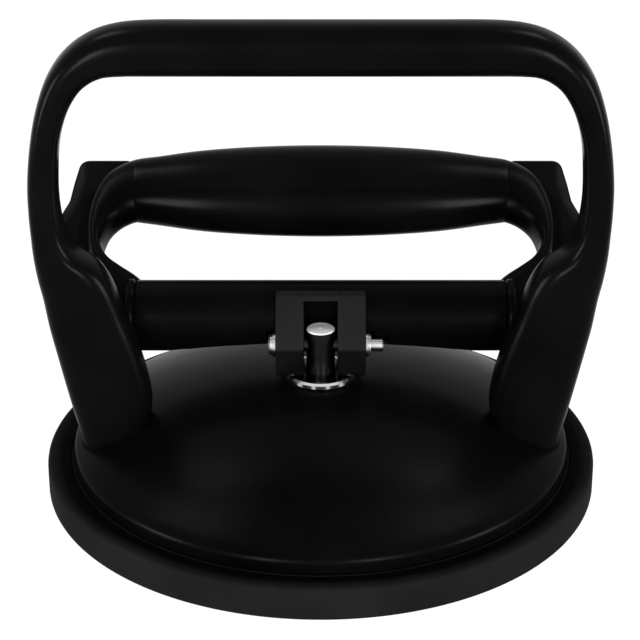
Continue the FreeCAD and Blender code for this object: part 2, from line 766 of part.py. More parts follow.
def make_cross_bar():
    """Round bar between the arms, hollowed a little underneath so that it clears the dome."""
    bar = across_x("bar_round_stock", bar_radius, -bar_half_length, bar_half_length * 2, y=bar_back, z=bar_height)
    tools = []
    for name, depth, lean in (("back", bar_relief, lever_travel / 2), ("front", bar_front_relief, -bar_front_lean)):
        curve = (bar_relief_half_length * bar_relief_half_length + depth * depth) / (depth * 2)
        sink = curve + bar_radius - depth
        tool = doc.addObject("Part::Cylinder", f"bar_relief_{name}")
        bind(tool, Radius=curve, Height=bar_radius * 4)
        angle = math.radians(lean.value)
        down = FreeCAD.Vector(0, math.sin(angle), -math.cos(angle))
        along = FreeCAD.Vector(0, math.cos(angle), math.sin(angle))
        middle = FreeCAD.Vector(0, bar_back.value, bar_height.value) + down * sink.value
        tool.Placement = FreeCAD.Placement(
            middle - along * (2 * bar_radius.value), FreeCAD.Rotation(Z_AXIS, along)
        )
        tools.append(tool)
    waisted = cut("bar_waisted", bar, fuse("bar_reliefs", tools))
    collars = [
        across_x("collar_left", collar_radius, -(bar_half_length + collar_thickness), collar_thickness,
                 y=bar_back, z=bar_height),
        across_x("collar_right", collar_radius, bar_half_length, collar_thickness, y=bar_back, z=bar_height),
    ]
    return [waisted] + collars


def lever_plane(shape):
    """Tilt a shape drawn flat about the bar's axis into the plane of the lever."""
    shape.rotate(FreeCAD.Vector(), X_AXIS, lever_tilt.value)
    shape.translate(FreeCAD.Vector(0, bar_back.value, bar_height.value))
    return shape


def bow(start, through, end):
    return Part.Arc(FreeCAD.Vector(*start), FreeCAD.Vector(*through), FreeCAD.Vector(*end)).toShape()


def smooth(*points):
    """One flowing edge through a few points."""
    curve = Part.BSplineCurve()
    curve.interpolate([FreeCAD.Vector(*point) for point in points])
    return curve.toShape()


def rims_like(slab, model):
    """The upper and lower edges of a slab that follow one edge of its outline."""
    spot = model.CenterOfMass
    return [
        edge for edge in slab.Edges
        if edge.BoundBox.ZLength < 0.01
        and (FreeCAD.Vector(edge.CenterOfMass.x, edge.CenterOfMass.y, 0) - spot).Length < 0.05
    ]


def make_arm(side, sign):
    """Curved arm from the end of the bar round to the end of the grip."""
    outer = arm_outer_reach.value
    inner = arm_inner_reach.value
    root = bar_half_length.value + collar_thickness.value
    tip = grip_half_length.value
    half = grip_end_width.value / 2
    far = grip_distance.value
    top = (tip, far + half, 0)
    widest = (outer, far - half * 1.25, 0)
    foot = (root + 6, -bar_radius.value * 0.72, 0)
    heel = (root - 1, -bar_radius.value * 0.72, 0)
    throat = (root - 1, bar_radius.value * 0.95, 0)
    waist = (inner, far / 2, 0)
    under = (tip, far - half, 0)
    outside = smooth(top, (outer - 4.2, far + half * 0.36, 0), widest, (outer - 1.2, far * 0.45, 0), foot)
    inside = smooth(throat, (inner - 3, far * 0.38, 0), waist, (inner - 3, far / 2 + half * 0.8, 0), under)
    edges = [
        outside,
        line(FreeCAD.Vector(*foot), FreeCAD.Vector(*heel)),
        line(FreeCAD.Vector(*heel), FreeCAD.Vector(*throat)),
        inside,
        line(FreeCAD.Vector(*under), FreeCAD.Vector(*top)),
    ]
    slab = Part.Face(Part.Wire(edges)).extrude(FreeCAD.Vector(0, 0, 2 * arm_half_depth.value))
    slab.translate(FreeCAD.Vector(0, 0, -arm_half_depth.value))
    slab = slab.makeFillet(arm_inner_round.value, rims_like(slab, inside))
    slab = slab.makeFillet(arm_outer_round.value, rims_like(slab, outside))
    if sign < 0:
        slab = slab.mirror(FreeCAD.Vector(), X_AXIS)
    return feature(f"arm_{side}", lever_plane(slab))


def make_ear(side, sign):
    """Flat thumb tab outside each arm, flaring outwards towards the pivot."""
    tip = grip_half_length.value
    top = ear_top.value
    reach = ear_reach.value
    flare = ear_flare_reach.value
    far = grip_distance.value
    corner = ear_corner_radius.value
    slant = corner * (1 - math.sqrt(0.5))
    hidden = arm_inner_reach.value + 2
    first = (tip + 2.4, top, 0)
    corner_start = (reach - corner, top, 0)
    corner_end = (reach, top - corner, 0)
    tail = (hidden + 2, far * 0.46, 0)
    rim = smooth(corner_end, (reach + 1.4, far + 3, 0), (flare - 0.8, far * 0.88, 0), (flare, far * 0.76, 0),
                 (flare - 4.5, far * 0.6, 0), tail)
    edges = [
        line(FreeCAD.Vector(tip, far + 4, 0), FreeCAD.Vector(*first)),
        line(FreeCAD.Vector(*first), FreeCAD.Vector(*corner_start)),
        bow(corner_start, (reach - slant, top - slant, 0), corner_end),
        rim,
        line(FreeCAD.Vector(*tail), FreeCAD.Vector(hidden, far * 0.6, 0)),
        line(FreeCAD.Vector(hidden, far * 0.6, 0), FreeCAD.Vector(tip, far + 4, 0)),
    ]
    tab = Part.Face(Part.Wire(edges)).extrude(FreeCAD.Vector(0, 0, -ear_thickness.value))
    tab.translate(FreeCAD.Vector(0, 0, -ear_drop.value))
    if sign < 0:
        tab = tab.mirror(FreeCAD.Vector(), X_AXIS)
    return feature(f"ear_{side}", lever_plane(tab))


def make_slot():
    """Room for the stud between the lugs, at rest and with the lever pressed down."""
    depth = bar_radius * 2
    upright = box(
        "slot_upright", slot_half_width * 2, depth + slot_half_width, depth + slot_above_pin,
        x=-slot_half_width, y=-depth, z=pin_height - depth,
    )
    swung = box("slot_swung", slot_half_width * 2, slot_half_width * 2, depth, x=-slot_half_width)
    turn = FreeCAD.Rotation(X_AXIS, lever_travel.value)
    corner = turn.multVec(FreeCAD.Vector(0, -slot_half_width.value, -depth.value))
    swung.Placement = FreeCAD.Placement(
        FreeCAD.Vector(-slot_half_width.value, corner.y, pin_height.value + corner.z), turn
    )
    for letter in "xyz":
        swung.setExpression(f".Placement.Base.{letter}", None)
    return fuse("stud_slot", [upright, swung])


def make_lever_frame():
    """One casting: bar, arms, ears, cam lugs and the core of the grip."""
    pieces = make_cross_bar()
    pieces.append(make_lugs())
    for side, sign in (("left", -1), ("right", 1)):
        pieces.append(make_arm(side, sign))
        pieces.append(make_ear(side, sign))
    core = Part.makeCylinder(
        grip_core_radius.value, 2 * grip_half_length.value + 8,
        FreeCAD.Vector(-grip_half_length.value - 4, grip_distance.value, 0), X_AXIS,
    )
    pieces.append(feature("grip_core", lever_plane(core)))
    casting = fuse("lever_casting", pieces)
    slotted = cut("lever_slotted", casting, make_slot())
    bores = [across_x("lug_bore", pin_radius + running_gap, -lug_half_width * 2, lug_half_width * 4, z=pin_height)]
    pocket = pin_washer_radius + pocket_margin
    reach = pocket_length
    bores.append(across_x("pocket_left", pocket, -(lug_half_width + reach), reach, z=pin_height))
    bores.append(across_x("pocket_right", pocket, lug_half_width, reach, z=pin_height))
    tail_room = pin_tail + pocket_length + tail_margin
    bores.append(across_x("tail_groove", pin_radius + tail_margin, lug_half_width, tail_room, z=pin_height))
    return cut("lever_frame", slotted, fuse("lever_bores", bores))


def make_lever_grip():
    """Swelling palm grip: oval sections along the core, fullest in the middle."""
    sections = []
    steps = 4
    for step in range(-steps, steps + 1):
        share = step / steps
        swell = 1 - abs(share) ** 2.2
        width = grip_end_width.value + (grip_mid_width.value - grip_end_width.value) * swell
        depth = grip_end_depth.value + (grip_mid_depth.value - grip_end_depth.value) * swell
        oval = Part.Ellipse(FreeCAD.Vector(), width / 2, depth / 2).toShape()
        oval.rotate(FreeCAD.Vector(), Z_AXIS, 90)
        oval.rotate(FreeCAD.Vector(), Y_AXIS, 90)
        oval.translate(FreeCAD.Vector(share * grip_half_length.value, grip_distance.value, 0))
        sections.append(Part.Wire([oval]))
    body = Part.makeLoft(sections, True, False)
    tunnel = Part.makeCylinder(
        grip_core_radius.value + press_gap.value, 2 * grip_half_length.value + 2,
        FreeCAD.Vector(-grip_half_length.value - 1, grip_distance.value, 0), X_AXIS,
    )
    return feature("lever_grip", lever_plane(body.cut(tunnel)))


# ---------------------------------------------------------------- cross pin


def make_cross_pin():
    """Headed pin through lugs and stud, with a groove for the clip near its tail."""
    washer_outside = lug_half_width + pin_end_gap + pin_washer_thickness
    clip_start = washer_outside + pin_end_gap
    clip_end = clip_start + clip_thickness + pin_end_gap
    tail = clip_end + pin_tail
    root = pin_radius - clip_groove_depth
    head_start = -(washer_outside + pin_head_thickness)
    return turned("cross_pin", [
        (head_start, 0),
        (head_start, pin_head_radius - pin_chamfer),
        (head_start + pin_chamfer, pin_head_radius),
        (-washer_outside, pin_head_radius),
        (-washer_outside, pin_radius),
        (clip_start, pin_radius),
        (clip_start, root),
        (clip_end, root),
        (clip_end, pin_radius),
        (tail - pin_chamfer, pin_radius),
        (tail, pin_radius - pin_chamfer),
        (tail, 0),
    ], around="H_Axis", z=pin_height)


def make_pin_washers():
    washers = []
    for side, start in (("left", -(lug_half_width + pin_end_gap + pin_washer_thickness)),
                        ("right", lug_half_width + pin_end_gap)):
        disc = across_x(f"pin_disc_{side}", pin_washer_radius, start, pin_washer_thickness, z=pin_height)
        eye = across_x(f"pin_eye_{side}", pin_radius + running_gap, start, pin_washer_thickness, z=pin_height)
        washers.append(cut(f"pin_washer_{side}", disc, eye))
    return washers


def make_retaining_clip():
    """Spring-steel clip pushed into the pin's groove from below."""
    start = lug_half_width + pin_end_gap * 2 + pin_washer_thickness
    inner = pin_radius - clip_groove_depth + press_gap
    disc = across_x("clip_disc", clip_radius, start, clip_thickness, z=pin_height)
    eye = across_x("clip_eye", inner, start, clip_thickness, z=pin_height)
    mouth = box(
        "clip_mouth_cut", clip_thickness, clip_mouth, clip_radius * 2,
        x=start, y=-(clip_mouth / 2), z=pin_height - clip_radius * 2,
    )
    notches = []
    for name, sign in (("front", -1), ("back", 1)):
        notches.append(across_x(
            f"clip_notch_{name}", clip_radius * 0.28, start, clip_thickness,
            y=inner * sign * 1.05, z=pin_height + inner * 0.55,
        ))
    return cut("retaining_clip", disc, fuse("clip_cuts", [eye, mouth] + notches))


# ---------------------------------------------------------------- build and export

dome_envelope = make_dome_envelope()
parts = [
    make_rubber_pad(),
    make_insert_plate(),
    make_pull_stud(),
    make_stud_nut(),
    make_spring_seat(),
    make_return_spring(),
    make_dome_housing(dome_envelope),
    make_guide_bush(),
    make_carry_handle(),
    *make_handle_screws(),
    *make_handle_washers(),
    make_lever_frame(),
    make_lever_grip(),
    make_cross_pin(),
    *make_pin_washers(),
    make_retaining_clip(),
]
doc.recompute()

for thing in doc.Objects:
    if "Invalid" in thing.State or "Error" in thing.State:
        raise RuntimeError(f"{thing.Label} failed to build")

os.makedirs("parts", exist_ok=True)
for part in parts:
    part.Label = part.Name
    if part.Shape.isNull() or not part.Shape.isValid():
        raise RuntimeError(f"{part.Label} has no valid shape")
    solids = part.Shape.Solids
    print(part.Label, len(solids), "solids", round(part.Shape.Volume / 1000, 2), "cm3", part.Shape.BoundBox)
    part.Shape.exportStep(f"parts/{part.Label}.step")
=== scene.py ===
import math

import bpy
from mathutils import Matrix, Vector


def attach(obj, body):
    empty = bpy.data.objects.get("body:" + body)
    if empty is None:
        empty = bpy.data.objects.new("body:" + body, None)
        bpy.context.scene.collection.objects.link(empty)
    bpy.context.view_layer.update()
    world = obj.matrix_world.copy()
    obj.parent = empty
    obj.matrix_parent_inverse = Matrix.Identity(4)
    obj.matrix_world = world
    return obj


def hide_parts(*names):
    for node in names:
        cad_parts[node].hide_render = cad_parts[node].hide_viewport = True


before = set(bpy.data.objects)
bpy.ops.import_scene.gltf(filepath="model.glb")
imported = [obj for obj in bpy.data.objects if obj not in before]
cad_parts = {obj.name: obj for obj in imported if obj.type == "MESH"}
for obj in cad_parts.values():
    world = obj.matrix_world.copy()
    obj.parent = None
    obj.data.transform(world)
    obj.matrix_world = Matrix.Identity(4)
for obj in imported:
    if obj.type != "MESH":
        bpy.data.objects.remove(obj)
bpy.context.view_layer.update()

# ------------------------------------------------------------ rubber pad
# The sealing pad: one compression-moulded disc of black nitrile rubber, 200 mm across.
# Its rim is thick and square, with a soft top edge, a fine moulded step where the dome
# sits, and a shallow recess underneath that leaves the sealing lip proud.

MM = 0.001
PAD_RADIUS = 99.8
PAD_TOP = 12.0
SEAT_RADIUS = 90.6


class Signal:
    """A value on its way through a material; arithmetic on it adds Math nodes."""

    def __init__(self, finish, socket):
        self.finish = finish
        self.socket = socket

    def math(self, operation, first, second):
        return self.finish.node("ShaderNodeMath", {"operation": operation}, {0: first, 1: second})

    def __add__(self, other):
        return self.math("ADD", self, other)

    def __sub__(self, other):
        return self.math("SUBTRACT", self, other)

    def __rsub__(self, other):
        return self.math("SUBTRACT", other, self)

    def __mul__(self, other):
        return self.math("MULTIPLY", self, other)

    def __gt__(self, other):
        return self.math("GREATER_THAN", self, other)

    __radd__ = __add__
    __rmul__ = __mul__


class Finish:
    """One surface finish, built round a single shader; the backdrop is one too."""

    def __init__(self, name, fixed, holder=None, shader="Principled BSDF"):
        self.material = holder or bpy.data.materials.new(name)
        self.material.use_nodes = True
        self.tree = self.material.node_tree
        self.shader = self.tree.nodes[shader]
        for socket, value in fixed.items():
            self.shader.inputs[socket].default_value = value
        place = self.tree.nodes.new("ShaderNodeTexCoord")
        self.place = Signal(self, place.outputs["Object"])

    def node(self, kind, settings, inputs, output=0):
        made = self.tree.nodes.new(kind)
        for key, value in settings.items():
            if key == "stops":
                for stop, (position, colour) in zip(made.color_ramp.elements, value):
                    stop.position = position
                    stop.color = colour
            else:
                setattr(made, key, value)
        for key, value in inputs.items():
            if isinstance(value, Signal):
                self.tree.links.new(value.socket, made.inputs[key])
            else:
                made.inputs[key].default_value = value
        return Signal(self, made.outputs[output])

    def grain(self, scale, detail=3.0, output="Fac"):
        """Soft irregular mottling, as many marks to the metre as scale says."""
        inputs = {"Vector": self.place, "Scale": scale, "Detail": detail}
        return self.node("ShaderNodeTexNoise", {}, inputs, output)

    def axis(self, letter):
        """Distance along one axis of the object."""
        return self.node("ShaderNodeSeparateXYZ", {}, {"Vector": self.place}, letter)

    def radius(self):
        """Distance from the object's upright axis."""
        flat = self.node("ShaderNodeVectorMath", {"operation": "MULTIPLY"}, {0: self.place, 1: (1, 1, 0)})
        return self.node("ShaderNodeVectorMath", {"operation": "LENGTH"}, {0: flat}, "Value")

    def drive(self, socket, value):
        self.tree.links.new(value.socket, self.shader.inputs[socket])

    def tint(self, dark, light, mask):
        """Base colour that wanders between two shades."""
        stops = [(0.3, (*dark, 1)), (0.7, (*light, 1))]
        self.drive("Base Color", self.node("ShaderNodeValToRGB", {"stops": stops}, {"Fac": mask}))

    def emboss(self, height, depth, strength=1.0):
        inputs = {"Height": height, "Distance": depth, "Strength": strength}
        self.drive("Normal", self.node("ShaderNodeBump", {}, inputs))

    def coat(self, piece):
        piece.data.materials.clear()
        piece.data.materials.append(self.material)


rubber = Finish("black_rubber", {"Specular IOR Level": 0.006})
bloom = rubber.grain(38, 5)
# Painted shade: the rubber's colour is a little darker on the pad's top face, and darker still in a band
# next to the dome's rim, as a painted contact shadow under the dome's edge.
TOP_FACE = 0.0117
SHADE_REACH = 0.0975
shaded_top_face = rubber.axis("Z") > TOP_FACE
clamped = {"operation": "MULTIPLY", "use_clamp": True}
painted_shadow_near_dome = rubber.node("ShaderNodeMath", clamped, {0: SHADE_REACH - rubber.radius(), 1: 170.0})
shade = shaded_top_face * painted_shadow_near_dome
rubber_bloom_and_shade = bloom * 0.3 - shade * 0.42 - shaded_top_face * 0.06 + 0.42
rubber.tint((0.0004, 0.0004, 0.0004), (0.0068, 0.0068, 0.007), rubber_bloom_and_shade)
rubber.drive("Roughness", rubber.grain(160, 2) * 0.16 + 0.56)
rubber.emboss(rubber.grain(1500, 2) * 0.7 + bloom * 0.3, 0.00022, 0.7)


def rounded(corners):
    """Polyline of (a, b, radius) corners with each corner turned into a short arc."""
    line = []
    count = len(corners)
    for index, (a, b, radius) in enumerate(corners):
        here = Vector((a, b))
        if radius == 0:
            line.append(here)
            continue
        before = (Vector(corners[index - 1][:2]) - here).normalized()
        after = (Vector(corners[(index + 1) % count][:2]) - here).normalized()
        half = before.angle(after) / 2
        reach = radius / math.tan(half)
        centre = here + (before + after).normalized() * (radius / math.sin(half))
        start = here + before * reach - centre
        turn = start.angle_signed(here + after * reach - centre)
        for step in range(6):
            angle = -turn * step / 5
            swung = Vector((
                start.x * math.cos(angle) - start.y * math.sin(angle),
                start.x * math.sin(angle) + start.y * math.cos(angle),
            ))
            line.append(centre + swung)
    return line


def skin(name, rings, finish, body, capped=True, looped=False, crease=40):
    """Surface over a row of rings of equal count, smooth except across real edges."""
    count = len(rings[0])
    points = [point for ring in rings for point in ring]
    faces = []
    spans = len(rings) if looped else len(rings) - 1
    for row in range(spans):
        start = row * count
        after = (row + 1) % len(rings) * count
        for index in range(count):
            follower = (index + 1) % count
            faces.append((start + index, start + follower, after + follower, after + index))
    if capped and not looped:
        for ring, base, flip in ((rings[0], 0, True), (rings[-1], (len(rings) - 1) * count, False)):
            middle = sum((Vector(point) for point in ring), Vector()) / count
            points.append(middle)
            hub = len(points) - 1
            for index in range(count):
                edge = (base + index, base + (index + 1) % count)
                faces.append((edge[1], edge[0], hub) if flip else (*edge, hub))
    mesh = bpy.data.meshes.new(name)
    mesh.from_pydata([tuple(point) for point in points], [], faces)
    mesh.validate()
    mesh.update()
    piece = bpy.data.objects.new(name, mesh)
    bpy.context.scene.collection.objects.link(piece)
    finish_mesh(piece, crease)
    finish.coat(piece)
    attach(piece, body)
    return piece


def finish_mesh(piece, crease):
    """Outward faces, smooth shading and sharp real edges."""
    bpy.context.view_layer.objects.active = piece
    bpy.ops.object.select_all(action="DESELECT")
    piece.select_set(True)
    bpy.ops.object.mode_set(mode="EDIT")
    bpy.ops.mesh.select_all(action="SELECT")
    bpy.ops.mesh.remove_doubles(threshold=0.000001)
    bpy.ops.mesh.normals_make_consistent(inside=False)
    bpy.ops.object.mode_set(mode="OBJECT")
    piece.data.shade_smooth()
    piece.data.set_sharp_from_angle(angle=math.radians(crease))


def turned(name, profile, finish, body, steps=192, crease=40):
    """A round piece from a closed (radius, height) profile in millimetres."""
    rings = []
    for step in range(steps):
        angle = 2 * math.pi * step / steps
        rings.append([
            Vector((radius * math.cos(angle), radius * math.sin(angle), height)) * MM
            for radius, height in profile
        ])
    return skin(name, rings, finish, body, looped=True, crease=crease)


pad_profile = rounded([
    (0.01, 0.8, 0),
    (86.0, 0.8, 0),
    (87.0, 0.0, 0),
    (PAD_RADIUS, 0.0, 1.2),
    (PAD_RADIUS, PAD_TOP, 2.2),
    (SEAT_RADIUS + 0.9, PAD_TOP, 0.3),
    (SEAT_RADIUS + 0.5, PAD_TOP - 0.5, 0.2),
    (SEAT_RADIUS, PAD_TOP - 0.5, 0.2),
    (SEAT_RADIUS - 0.4, PAD_TOP, 0.2),
    (62.0, PAD_TOP, 0),
    (56.0, 5.8, 0),
    (35.5, 5.8, 0),
    (32.0, 9.5, 0),
    (25.0, 9.5, 0),
    (25.0, 3.2, 0),
    (0.01, 3.2, 0),
])
pad = turned("sealing_pad", pad_profile, rubber, "base")
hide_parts("rubber_pad")

# ------------------------------------------------------------ dome
# The cup body: a pressure die-casting in aluminium under satin black enamel, 180 mm across.
# Shallow spherical crown, a soft shoulder into a short upright rim, and a flat land in the
# middle for the bush. It stands on the pad and the pad's hub is drawn up beneath it.

RIM_RADIUS = 90.0
CROWN_RADIUS = 185.12
CROWN_TOP = 40.2
LAND_RADIUS = 13.8

enamel = Finish("black_enamel", {"Specular IOR Level": 0.014})
flow = enamel.grain(26, 2)
enamel.tint((0.0004, 0.0004, 0.0004), (0.0012, 0.0012, 0.0012), flow)
enamel.drive("Roughness", enamel.grain(90, 3) * 0.08 + 0.25)
enamel.emboss(enamel.grain(620, 2), 0.00006, 0.45)


def crown_height(radius, drop=0.0):
    """Height of the dome's outside, or of a surface that many millimetres below it."""
    return CROWN_TOP - CROWN_RADIUS + math.sqrt((CROWN_RADIUS - drop) ** 2 - radius ** 2)


dome_profile = [Vector((LAND_RADIUS - 5, CROWN_TOP)), Vector((LAND_RADIUS, CROWN_TOP))]
for step in range(1, 27):
    radius = LAND_RADIUS + 0.6 + (85.4 - LAND_RADIUS - 0.6) * step / 26
    dome_profile.append(Vector((radius, crown_height(radius))))
shoulder = (87.1, 15.2)
for step in range(1, 7):
    angle = math.radians(62 - 62 * step / 6)
    dome_profile.append(Vector((
        shoulder[0] + 2.9 * math.cos(angle),
        shoulder[1] + 2.9 * math.sin(angle),
    )))
dome_profile.append(Vector((RIM_RADIUS, 12.3)))
dome_profile.append(Vector((RIM_RADIUS - 0.3, 12.0)))
dome_profile.append(Vector((74.0, 12.0)))
for step in range(13):
    radius = 74.0 - (74.0 - LAND_RADIUS) * step / 12
    dome_profile.append(Vector((radius, crown_height(radius, 4.5))))
dome_profile.append(Vector((LAND_RADIUS, 30.2)))
dome_profile.append(Vector((LAND_RADIUS - 5, 30.2)))
dome = turned("cup_dome", dome_profile, enamel, "base", crease=32)
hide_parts("dome_housing")

# ------------------------------------------------------------ guide bush
# The bright ring in the middle of the dome: a turned steel bush, pressed in and chrome
# plated. Its flange is the track the lever's two cam heels roll on; inside the flange's edge its colour is
# painted dark as shade under the lever.

chrome = Finish("chrome_plate", {"Metallic": 1.0})
# Painted shade: inside this radius the chrome's colour is dark, as under the lever, and outside it the rim
# is left bright.
SHADED_TRACK_RADIUS = 0.0107
distance = chrome.radius()
lathe_marks = chrome.node("ShaderNodeMath", {"operation": "SINE"}, {0: distance * 16000})
unshaded_rim = distance > SHADED_TRACK_RADIUS
chrome.tint((0.02, 0.02, 0.02), (0.62, 0.62, 0.63), chrome.grain(300, 2) * 0.16 + unshaded_rim * 0.5 + 0.2)
chrome.drive("Roughness", chrome.grain(240, 3) * 0.16 + 0.06)
chrome.emboss(lathe_marks * 0.5 + chrome.grain(900, 2), 0.00004, 0.4)
chrome.coat(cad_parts["guide_bush"])

# ------------------------------------------------------------ pull stud
# The steel stud that draws the pad up. It is turned from bar, and its end is faced off with a
# fine turned ring and a chamfer; its colour is painted dark along the shaft as shade and light on the end
# face as a painted highlight. Its insert plate, lock nut and spring cup, and the spring round it, are
# hidden under the dome.

steel = Finish("turned_steel", {"Metallic": 1.0})
END_FACE = 0.0589
rings = steel.node("ShaderNodeMath", {"operation": "SINE"}, {0: steel.radius() * 14000})
# Painted highlight and shade: above the end face's height the colour is light and less metallic, as a
# highlight on the top, and below it dark, as shade on the shaft.
lit_end_face = steel.axis("Z") > END_FACE
steel.tint((0.016, 0.015, 0.013), (0.5, 0.5, 0.485), steel.grain(700, 2) * 0.08 + lit_end_face * 0.5 + 0.24)
steel.drive("Metallic", lit_end_face * -0.65 + 1.0)
steel.drive("Roughness", steel.grain(300, 3) * 0.22 + 0.24)
steel.emboss(rings * 0.5 + steel.grain(1200, 2), 0.00005, 0.5)
for node in ("insert_plate", "stud_nut", "spring_seat"):
    steel.coat(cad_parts[node])
stud_profile = rounded([
    (0.01, 58.95, 0),
    (0.5, 59.3, 0),
    (3.5, 59.3, 0),
    (3.66, 59.12, 0),
    (3.82, 59.3, 0),
    (4.7, 59.3, 0),
    (5.14, 58.86, 0),
    (5.14, 3.4, 0),
    (0.01, 3.4, 0),
])
stud = turned("turned_stud", stud_profile, steel, "stud", steps=96, crease=30)
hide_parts("pull_stud")

spring_steel = Finish("spring_steel", {"Metallic": 1.0})
spring_steel.tint((0.2, 0.2, 0.205), (0.36, 0.36, 0.365), spring_steel.grain(500, 3))
spring_steel.drive("Roughness", spring_steel.grain(700, 2) * 0.2 + 0.28)
spring_steel.emboss(spring_steel.grain(2400, 2), 0.00003, 0.4)
spring_steel.coat(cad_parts["return_spring"])

# ------------------------------------------------------------ carry handle
# The big arch to lift by: one thick moulding with a smooth satin black surface. The top bar
# is oval, the sides thin down to a band, and the band steps out over a ledge into two broad
# legs whose flared feet are cut to the dome and held by screws from beneath.

satin = Finish("black_handle", {"Specular IOR Level": 0.018})
cloud = satin.grain(22, 2)
satin.tint((0.0004, 0.0004, 0.0004), (0.0014, 0.0014, 0.0014), cloud)
satin.drive("Roughness", satin.grain(110, 3) * 0.08 + 0.2)
satin.emboss(satin.grain(800, 2), 0.00005, 0.4)

HANDLE_Y = -10.0
RING_POINTS = 48


def flowing(stations, steps):
    """Smooth run of values through each station in turn."""
    run = []
    last = len(stations) - 1
    for index in range(last):
        before = stations[max(index - 1, 0)]
        here = stations[index]
        after = stations[index + 1]
        beyond = stations[min(index + 2, last)]
        for step in range(steps):
            t = step / steps
            run.append([
                0.5 * (
                    2 * b + (c - a) * t
                    + (2 * a - 5 * b + 4 * c - d) * t ** 2
                    + (3 * b - a - 3 * c + d) * t ** 3
                )
                for a, b, c, d in zip(before, here, after, beyond)
            ])
    run.append(list(stations[last]))
    return run


def oval_ring(centre, across, depth, power):
    """Ring between an ellipse (power 2) and a box with rounded corners (higher power)."""
    ring = []
    for index in range(RING_POINTS):
        angle = 2 * math.pi * index / RING_POINTS
        c = math.cos(angle)
        s = math.sin(angle)
        ring.append((
            centre + across * math.copysign(abs(c) ** (2 / power), c)
            + depth * math.copysign(abs(s) ** (2 / power), s)
        ) * MM)
    return ring


# Outer x, z, inner x, z, half depth and squareness, from the top middle to the right foot.
handle_stations = [
    (0.0, 177.0, 0.0, 158.8, 9.8, 2.5),
    (34.0, 177.0, 34.0, 158.8, 9.8, 2.5),
    (58.0, 176.9, 56.0, 158.8, 9.8, 2.5),
    (70.0, 175.5, 66.0, 158.8, 9.8, 2.5),
    (79.0, 171.9, 73.0, 158.3, 9.8, 2.6),
    (86.6, 165.8, 78.4, 155.7, 9.8, 2.7),
    (92.4, 157.2, 82.4, 151.4, 9.8, 2.8),
    (96.3, 146.2, 86.0, 144.4, 9.8, 3.0),
    (98.8, 134.0, 88.9, 134.0, 9.8, 3.1),
    (100.3, 121.0, 90.1, 121.0, 9.8, 3.1),
    (100.5, 110.0, 90.1, 110.5, 9.8, 3.1),
    (100.2, 101.0, 88.6, 101.6, 9.8, 3.0),
    (99.8, 93.0, 84.6, 94.2, 9.8, 2.9),
    (98.8, 84.5, 77.6, 89.0, 9.8, 2.8),
    (97.3, 76.5, 73.0, 82.0, 9.8, 2.7),
    (95.8, 66.0, 69.0, 70.6, 9.8, 2.6),
    (93.6, 55.0, 65.2, 59.4, 9.8, 2.6),
    (91.2, 43.5, 62.2, 48.6, 9.8, 2.6),
    (89.0, 33.5, 60.6, 39.4, 9.8, 2.6),
    (87.2, 25.6, 60.6, 33.2, 9.9, 2.6),
    (86.6, 20.4, 61.6, 29.6, 10.0, 2.6),
    (86.2, 17.0, 62.0, 27.0, 10.0, 2.6),
]
half_run = flowing(handle_stations, 6)
whole_run = [(-1, values) for values in reversed(half_run)] + [(1, values) for values in half_run[1:]]
handle_rings = []
for side, (outer_x, outer_z, inner_x, inner_z, half_depth, power) in whole_run:
    outer = Vector((side * outer_x, HANDLE_Y, outer_z))
    inner = Vector((side * inner_x, HANDLE_Y, inner_z))
    depth = Vector((0, half_depth, 0))
    handle_rings.append(oval_ring((outer + inner) / 2, (outer - inner) / 2, depth, power))
handle = skin("carry_arch", handle_rings, satin, "base", crease=60)
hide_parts("carry_handle")

# ------------------------------------------------------------ screws under the dome
# Four zinc-plated socket screws with plain washers go up through the dome into the legs.
# They are standard pieces, out of sight beneath the cup, and are left a little dull.

zinc = Finish("zinc_plate", {"Metallic": 1.0})
zinc.tint((0.36, 0.36, 0.37), (0.56, 0.56, 0.57), zinc.grain(600, 4))
zinc.drive("Roughness", zinc.grain(350, 3) * 0.2 + 0.34)
zinc.emboss(zinc.grain(1800, 2), 0.00003, 0.4)
for kind in ("handle_screw", "screw_washer"):
    for row in ("inner", "outer"):
        for side in ("left", "right"):
            zinc.coat(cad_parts[f"{kind}_{row}_{side}"])

# ------------------------------------------------------------ lever cross bar
# The lower bar of the cam lever: part of one die-casting in satin black enamel. It is round,
# has a thin collar at each end, is slotted for the stud, is spot-faced round the pin's ends,
# and is hollowed slightly underneath so that it clears the dome when pressed down.

PIN_Z = 52.7
TRAVEL = math.radians(36)
BAR_Y = 13.8
BAR_Z = 57.9
BAR_RADIUS = 12.9
COLLAR_RADIUS = 13.3
SLOT_HALF = 6.1
LUG_HALF = 16.2
POCKET_RADIUS = 5.0
POCKET_END = LUG_HALF + 3.4
GROOVE_RADIUS = 3.1
GROOVE_END = 24.8
RELIEF_HALF_LENGTH = 55.0
# Lean from straight down, and depth in the middle, of the two hollows under the bar.
HOLLOWS = ((TRAVEL / 2, 4.0), (math.radians(-22), 3.4))

swung = Vector((0, math.cos(TRAVEL), math.sin(TRAVEL)))
pin_line = Vector((0, 0, PIN_Z))


def bar_ring(x, radius, state):
    """One ring of the bar, plain, notched for the stud, or cleared round the pin."""
    share = max(0.0, 1 - (x / RELIEF_HALF_LENGTH) ** 2)
    ring = []
    for index in range(96):
        angle = 2 * math.pi * index / 96
        arm = Vector((0, math.cos(angle), math.sin(angle))) * radius
        for lean, depth in HOLLOWS:
            down = Vector((0, math.sin(lean), -math.cos(lean)))
            low = arm.dot(down) - (BAR_RADIUS - depth * share)
            if low > 0:
                arm -= down * low
        point = Vector((0, BAR_Y, BAR_Z)) + arm
        room = {"pocket": POCKET_RADIUS, "groove": GROOVE_RADIUS}.get(state, 0)
        if (point - pin_line).length < room:
            point = pin_line + (point - pin_line).normalized() * room
        if state == "notch":
            point.y = max(point.y, SLOT_HALF)
            short = SLOT_HALF - (point - pin_line).dot(swung)
            if short > 0:
                point += swung * short
        point.x = x
        ring.append(point * MM)
    return ring


